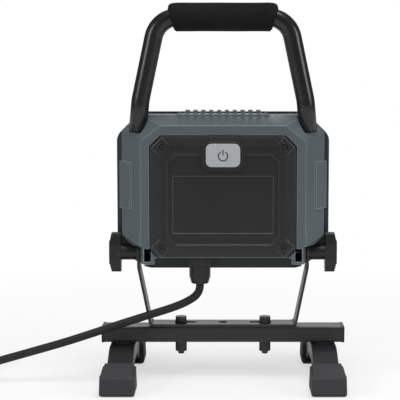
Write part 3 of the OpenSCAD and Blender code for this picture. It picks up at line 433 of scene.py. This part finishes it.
metals = {
    "zinc": {"colour": paint(190, 192, 194), "dark": paint(140, 143, 146), "rough": 0.3, "along": (40, 900, 900)},
    "alloy": {"colour": paint(205, 206, 208), "dark": paint(165, 167, 170), "rough": 0.36, "along": (900, 60, 60)},
    "nickel": {"colour": paint(214, 210, 198), "dark": paint(180, 174, 158), "rough": 0.22, "along": (900, 30, 900)},
}


def bareMetal(name, look):
    # turned or rolled metal: streaks along the work and a little staining
    finish = Finish(name, Metallic=1.0)
    streak = finish.noise(1, 2, 0.6, finish.stretched(*look["along"]))
    stain = finish.ramp(finish.noise(90, 4, 0.65), [(0.45, 0.0), (0.8, 1.0)])
    tone = finish.mixed(streak * 0.5 + stain * 0.35, look["colour"], look["dark"])
    finish.bump(streak, 0.00001)
    return finish.show(tone, look["rough"] + streak * 0.1 + stain * 0.12)


def cableJacket():
    # rubber jacket pressed over twisted cores: fine rings
    finish = Finish("cableJacket", Specular_IOR_Level=0.35)
    along = finish.node("Attribute", {"attribute_name": "along"}, out="Fac")
    rings = finish.node("Math", {"operation": "SINE"}, {0: along * (2 * math.pi / 0.0021)})
    fine = finish.noise(1600, 3, 0.65)
    scuff = finish.ramp(finish.noise(60, 4, 0.65), [(0.42, 0.0), (0.72, 1.0)])
    tone = finish.mixed(scuff * 0.5, paint(28, 28, 29), paint(44, 44, 45))
    finish.bump(rings * 0.5 + fine * 0.6, 0.00012)
    return finish.show(tone, 0.56 + scuff * 0.14)


def clearGlass():
    finish = Finish("frontGlass", Transmission_Weight=1.0, IOR=1.5)
    smear = finish.ramp(finish.noise(16, 4, 0.6), [(0.45, 0.0), (0.8, 1.0)])
    ripple = finish.noise(9, 1, 0.4)
    finish.bump(ripple, 0.00004)
    return finish.show((0.97, 0.99, 0.985, 1), 0.015 + smear * 0.05)


def whiteEnamel():
    finish = Finish("reflectorEnamel", Coat_Weight=0.4, Coat_Roughness=0.12)
    flow = finish.noise(120, 3, 0.55)
    dirt = finish.ramp(finish.noise(40, 5, 0.65), [(0.5, 0.0), (0.8, 1.0)])
    tone = finish.mixed(dirt * 0.12, paint(232, 232, 228), paint(200, 199, 192))
    finish.bump(flow, 0.00003)
    return finish.show(tone, 0.3 + dirt * 0.15)


def circuitBoard(name, mask, track):
    # lacquered board: faint tracks under the lacquer
    finish = Finish(name, Coat_Weight=0.5, Coat_Roughness=0.18)
    grid = finish.node("TexBrick", {"offset": 0.37}, {"Vector": finish.stretched(1, 1, 0.6), "Scale": 95,
                       "Mortar Size": 0.03, "Color1": (0, 0, 0, 1), "Color2": (0, 0, 0, 1), "Mortar": (1, 1, 1, 1)})
    weave = finish.noise(700, 2)
    tone = finish.mixed(grid * 0.5 + weave * 0.1, mask, track)
    finish.bump(grid, 0.00003)
    return finish.show(tone, 0.34 + weave * 0.1)


def phosphor():
    finish = Finish("ledPhosphor", Coat_Weight=0.3, Coat_Roughness=0.1)
    grains = finish.noise(4200, 3, 0.7)
    tone = finish.mixed(grains * 0.6, paint(238, 205, 66), paint(214, 160, 36))
    finish.bump(grains, 0.00004)
    return finish.show(tone, 0.45 + grains * 0.1)


def coreWires(xMiddle):
    # brown, striped and blue cores, told apart by where they run
    finish = Finish("coreWires", Specular_IOR_Level=0.4)
    x = finish.node("SeparateXYZ", None, {0: finish.place}, out=0)
    share = finish.node("MapRange", None, {0: x, 1: xMiddle - 0.006, 2: xMiddle + 0.006})
    cores = finish.ramp(share, [(0.0, paint(94, 58, 34)), (0.35, paint(94, 58, 34)), (0.37, paint(120, 150, 50)),
                                (0.63, paint(120, 150, 50)), (0.65, paint(44, 84, 150)), (1.0, paint(44, 84, 150))])
    fine = finish.noise(900, 3, 0.6)
    finish.bump(fine, 0.00003)
    return finish.show(finish.mixed(fine * 0.2, cores, paint(40, 40, 40)), 0.4 + fine * 0.1)


def tieWeb():
    # woven tie with tiny loops, coloured darker where the loops sink low as painted shade
    finish = Finish("tieWeb", Specular_IOR_Level=0.15, Sheen_Weight=0.4)
    warp = finish.node("TexWave", {"bands_direction": "Z"}, {"Vector": finish.place, "Scale": 420, "Distortion": 1.2})
    loops_and_painted_shade = finish.node("TexVoronoi", None, {"Vector": finish.place, "Scale": 1700})
    finish.bump(warp * 0.5 + loops_and_painted_shade, 0.0003)
    # painted shade: the colour darkens with the loop bump, darkest in its hollows
    return finish.show(finish.mixed(loops_and_painted_shade, paint(16, 16, 17), paint(44, 44, 46)), 0.85 + warp * 0.08)


print("finishes described")


# ---- CAD pieces keep their shape and get rounded edges ----

def dress(finish, *names):
    for name in names:
        piece = nodes[name]
        piece.data.materials.clear()
        piece.data.materials.append(finish)


def soften(width, *names):
    # welds the faces, merges flat ones and rounds the sharp edges
    for name in names:
        piece = nodes[name]
        weld = piece.modifiers.new("weld", "WELD")
        weld.merge_threshold = 0.00001
        flats = piece.modifiers.new("flats", "DECIMATE")
        flats.decimate_type = "DISSOLVE"
        flats.angle_limit = math.radians(0.6)
        edge = piece.modifiers.new("edge", "BEVEL")
        edge.width = width
        edge.segments = 2
        edge.limit_method = "ANGLE"
        edge.angle_limit = math.radians(32)
        edge.use_clamp_overlap = True
        even = piece.modifiers.new("even", "WEIGHTED_NORMAL")
        even.weight = 60


standCoat = powderCoat("standCoat", coats["stand"])
tubeCoat = powderCoat("handleCoat", coats["tube"])
slateCoat = powderCoat("housingCoat", coats["slate"])
frameCoat = powderCoat("frameCoat", coats["frame"])
coverPlastic = moulded("coverPlastic", mouldings["cover"])
blackPlastic = moulded("blackPlastic", mouldings["black"])
bezelRubber = moulded("bezelRubber", mouldings["bezel"])
buttonRubber = moulded("buttonRubber", mouldings["button"])
ivoryPlastic = moulded("ivoryPlastic", mouldings["ivory"])
footRubber = rubber("footRubber", rubbers["foot"])
sealRubber = rubber("sealRubber", rubbers["seal"])
plugRubber = rubber("plugRubber", rubbers["plug"])
zincPlate = bareMetal("zincPlate", metals["zinc"])
bareAlloy = bareMetal("bareAlloy", metals["alloy"])
nickelPlate = bareMetal("nickelPlate", metals["nickel"])

dress(standCoat, "crossbar", "leg_left", "leg_right", "bracket", "bracket_bolts", "bracket_washers",
      "bracket_nuts", "leg_bolts", "cover_screws")
dress(blackPlastic, "bar_plugs", "leg_spacers", "knob_left", "knob_right", "gland_body", "gland_locknut",
      "gland_cap", "driver_coil", "switch_body", "pivot_washers")
dress(footRubber, "foot_cap_left_rear", "foot_cap_left_front", "foot_cap_right_rear", "foot_cap_right_front")
dress(zincPlate, "leg_nuts", "knob_stud_left", "knob_stud_right", "pivot_nuts", "frame_screws", "board_screws",
      "sink_screws", "switch_spring", "handle_screws")
dress(slateCoat, "rear_housing")
dress(frameCoat, "front_frame")
dress(clearGlass(), "front_glass")
dress(sealRubber, "glass_gasket", "cover_gasket", "gland_seal")
dress(bezelRubber, "switch_bezel")
dress(buttonRubber, "switch_button")
dress(whiteEnamel(), "reflector")
dress(circuitBoard("ledBoardWhite", paint(226, 227, 224), paint(202, 204, 202)), "led_board")
dress(circuitBoard("driverBoardGreen", paint(22, 74, 44), paint(60, 120, 70)), "driver_board")
dress(phosphor(), "led_chips")
dress(bareAlloy, "heat_sink", "driver_capacitors")
dress(coverPlastic, "rear_cover")
dress(ivoryPlastic, "terminal_block")
dress(coreWires(middle("lead_wires").x), "lead_wires")
dress(tubeCoat, "handle_tube")
dress(tieWeb(), "cord_tie")
dress(plugRubber, "plug_body", "cord_tail")
dress(nickelPlate, "plug_pins")
soften(0.0008, "foot_cap_left_rear", "foot_cap_left_front", "foot_cap_right_rear", "foot_cap_right_front")
soften(0.0005, "rear_housing", "front_frame", "rear_cover", "knob_left", "knob_right", "bar_plugs", "bracket",
       "leg_left", "leg_right", "bracket_bolts", "bracket_nuts", "gland_body", "gland_cap", "plug_body")
soften(0.0003, "crossbar", "bracket_washers", "leg_spacers", "switch_bezel", "switch_button", "pivot_nuts",
       "plug_pins", "cover_screws", "frame_screws", "reflector", "heat_sink", "terminal_block", "leg_bolts",
       "handle_screws", "switch_body")
print("CAD pieces finished")

mainsCable, cableRun = makeCable(cableJacket())
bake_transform(mainsCable)
print("cable laid")


# ---- handle and grip ----

handle = {
    "radius": 0.009,
    "wall": 0.0015,
    "bend": 0.025,  # the two bends at the top
    "kneeBend": 0.06,  # the slight bends above the housing
    "sides": 40,
}
grip = {
    "length": 0.103,
    "radius": 0.014,
    "endRound": 0.004,
    "dents": 0.0002,
    "sides": 64,
    "rings": 90,
}


def handleLine():
    # from the left end over the top to the right end
    low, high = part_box("handle_tube")
    y = (low.y + high.y) / 2
    r = handle["radius"]
    top = high.z - r
    foot = Vector((high.x - r, y, top - 0.1124))
    knee = foot + Vector((-0.0029, 0, 0.0308))
    corner = foot + Vector((-0.0203, 0, 0.1124))
    flip = Vector((-1, 1, 1))
    half = [foot]
    half += arcAt(foot, knee, corner, handle["kneeBend"], 6)
    half += arcAt(knee, corner, corner * flip, handle["bend"], 14)
    return [p * flip for p in half] + half[::-1]


def pointAt(line, run, distance):
    i = max(k for k in range(len(line) - 1) if run[k] <= distance or k == 0)
    return line[i].lerp(line[i + 1], (distance - run[i]) / (run[i + 1] - run[i]))


def makeHandle():
    line = handleLine()
    made = sweep("handleTube", line, handle["radius"], handle["sides"], tubeCoat)
    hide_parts("handle_tube")
    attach(made, "head")
    return line


def makeGrip(line):
    # the sleeve follows the tube, so its ends droop a little over the bends
    run = lengthAlong(line)
    start = run[-1] / 2 - grip["length"] / 2
    size, soft = grip["length"], grip["endRound"]
    marks = [0, 0.0001] + [size * k / grip["rings"] for k in range(1, grip["rings"])] + [size - 0.0001, size]
    bore = handle["radius"] + 0.0001
    radii = []
    for mark in marks:
        near = min(mark, size - mark)
        fall = soft - math.sqrt(max(0, soft ** 2 - (soft - near) ** 2)) if near < soft else 0
        radii.append(bore if near == 0 else grip["radius"] - fall)

    def dent(at, angle):
        spot = Vector((at.x * 45, math.cos(angle) * 0.9, math.sin(angle) * 0.9))
        return 1 + noise.noise(spot) * grip["dents"] / grip["radius"]

    made = sweep("gripFoam", [pointAt(line, run, start + m) for m in marks], radii, grip["sides"],
                 foamSkin(), caps=False, shape=dent)
    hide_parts("grip_foam")
    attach(made, "head")


handleRun = makeHandle()
makeGrip(handleRun)
print("handle and grip made")


# ---- switch ----

symbol = {
    "radius": 0.0046,
    "line": 0.0009,
    "gap": 62,  # degrees left open at the top
    "rise": 0.00012,
    "barTop": 0.0062,
    "barFoot": 0.0008,
}
spring = {"radius": 0.0041, "wire": 0.0006, "turns": 4, "sides": 8, "steps": 22}


def makeSymbol():
    # ring and bar printed on the button, standing a hair proud
    low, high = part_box("switch_button")
    centre = Vector(((low.x + high.x) / 2, low.y - symbol["rise"], (low.z + high.z) / 2 - 0.0006))
    points, faces = [], []
    steps = 44
    open_ = math.radians(symbol["gap"])
    for k in range(steps + 1):
        angle = math.pi / 2 + open_ / 2 + (2 * math.pi - open_) * k / steps
        for r in (symbol["radius"] - symbol["line"] / 2, symbol["radius"] + symbol["line"] / 2):
            points.append(centre + Vector((r * math.cos(angle), 0, r * math.sin(angle))))
    for k in range(steps):
        faces.append((2 * k, 2 * k + 1, 2 * k + 3, 2 * k + 2))
    half = symbol["line"] / 2
    first = len(points)
    for x, z in ((-half, symbol["barFoot"]), (half, symbol["barFoot"]), (half, symbol["barTop"]), (-half, symbol["barTop"])):
        points.append(centre + Vector((x, 0, z)))
    faces.append((first, first + 1, first + 2, first + 3))
    made = addMesh("powerSymbol", points, faces, blackPlastic, smooth=False)
    solid = made.modifiers.new("solid", "SOLIDIFY")
    solid.thickness = 3 * symbol["rise"]
    solid.offset = 0
    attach(made, "button")


def makeSpring():
    low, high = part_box("switch_spring")
    middleX, middleZ = (low.x + high.x) / 2, (low.z + high.z) / 2
    turns, steps = spring["turns"], spring["steps"]
    line = []
    for k in range(turns * steps + 1):
        share = k / (turns * steps)
        ease = min(1, max(0, (share - 0.12) / 0.76))
        angle = 2 * math.pi * k / steps
        y = low.y + spring["wire"] + (high.y - low.y - 2 * spring["wire"]) * ease
        line.append(Vector((middleX + spring["radius"] * math.cos(angle), y, middleZ + spring["radius"] * math.sin(angle))))
    made = sweep("switchSpring", line, spring["wire"] / 2, spring["sides"], zincPlate)
    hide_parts("switch_spring")
    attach(made, "head")
    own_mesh(made)


makeSymbol()
makeSpring()
print("switch made")


# ---- floor, light and world ----

studio = {
    "floor": 0.86,
    "floorSize": 12,
    "floorDrop": 0.0003,
    "nearWhite": 0.55,  # share of plain white in the floor under the light, for the camera
    "fadeFrom": 0.25,
    "fadeTo": 0.75,  # from here on the floor is plain white
    "sky": 0.3,
    "glossSky": 0.12,  # how bright the surroundings look in a gloss
    "lamps": [  # name, place, size, watts
        ("topLamp", (0.1, -0.35, 1.5), 0.9, 14),
        ("leftLamp", (-1.3, -0.9, 0.8), 0.6, 8),
        ("rightLamp", (1.35, -0.7, 0.7), 0.6, 7),
        ("backLamp", (0.0, 1.5, 1.0), 1.0, 7),
    ],
}


def makeFloor():
    side = studio["floorSize"] / 2
    low = -studio["floorDrop"]
    points = [(-side, -side, low), (side, -side, low), (side, side, low), (-side, side, low)]
    finish = Finish("paleFloor", Roughness=1.0, Specular_IOR_Level=0.0)
    mottle = finish.noise(3, 2)
    base = finish.mixed(mottle * 0.15, (studio["floor"],) * 3 + (1,), (studio["floor"] * 0.98,) * 3 + (1,))
    finish.show(base)
    white = finish.node("Emission", None, {"Color": (1, 1, 1, 1), "Strength": 1.0})
    path = finish.node("LightPath", out="Is Camera Ray")
    away = finish.node("VectorMath", {"operation": "LENGTH"}, {0: finish.place}, out="Value")
    fade = finish.node("MapRange", None, {0: away, 1: studio["fadeFrom"], 2: studio["fadeTo"], 3: studio["nearWhite"], 4: 1.0})
    both = finish.node("MixShader", None, {0: path * fade, 1: Wire(finish, finish.shader.outputs[0]), 2: white})
    finish.feed(finish.tree.nodes["Material Output"].inputs["Surface"], both)
    floor = addMesh("floor", points, [(0, 1, 2, 3)], finish.material, smooth=False)


def makeWorld():
    # plain white where it is seen, a soft sky for the light and a dim room in a gloss
    world = bpy.data.worlds.new("studioWorld")
    bpy.context.scene.world = world
    world.use_nodes = True
    tree = world.node_tree
    tree.nodes.clear()
    path = tree.nodes.new("ShaderNodeLightPath")
    end = tree.nodes.new("ShaderNodeOutputWorld")
    shown = None
    for ray, strength in ((None, studio["sky"]), ("Is Glossy Ray", studio["glossSky"]),
                          ("Is Transmission Ray", 1.0), ("Is Camera Ray", 1.0)):
        light = tree.nodes.new("ShaderNodeBackground")
        light.inputs["Color"].default_value = (1, 1, 1, 1)
        light.inputs["Strength"].default_value = strength
        if shown:
            both = tree.nodes.new("ShaderNodeMixShader")
            tree.links.new(path.outputs[ray], both.inputs[0])
            tree.links.new(shown.outputs[0], both.inputs[1])
            tree.links.new(light.outputs[0], both.inputs[2])
            shown = both
        else:
            shown = light
    tree.links.new(shown.outputs[0], end.inputs["Surface"])


def makeLamps():
    for name, place, size, watts in studio["lamps"]:
        data = bpy.data.lights.new(name, "AREA")
        data.shape = "SQUARE"
        data.size = size
        data.energy = watts
        lamp = bpy.data.objects.new(name, data)
        lamp.location = place
        aim = Vector((0, 0, 0.18)) - Vector(place)
        lamp.rotation_euler = aim.to_track_quat("-Z", "Y").to_euler()
        bpy.context.scene.collection.objects.link(lamp)


makeFloor()
makeWorld()
makeLamps()
bpy.context.scene.view_settings.view_transform = "Standard"
print("studio ready")
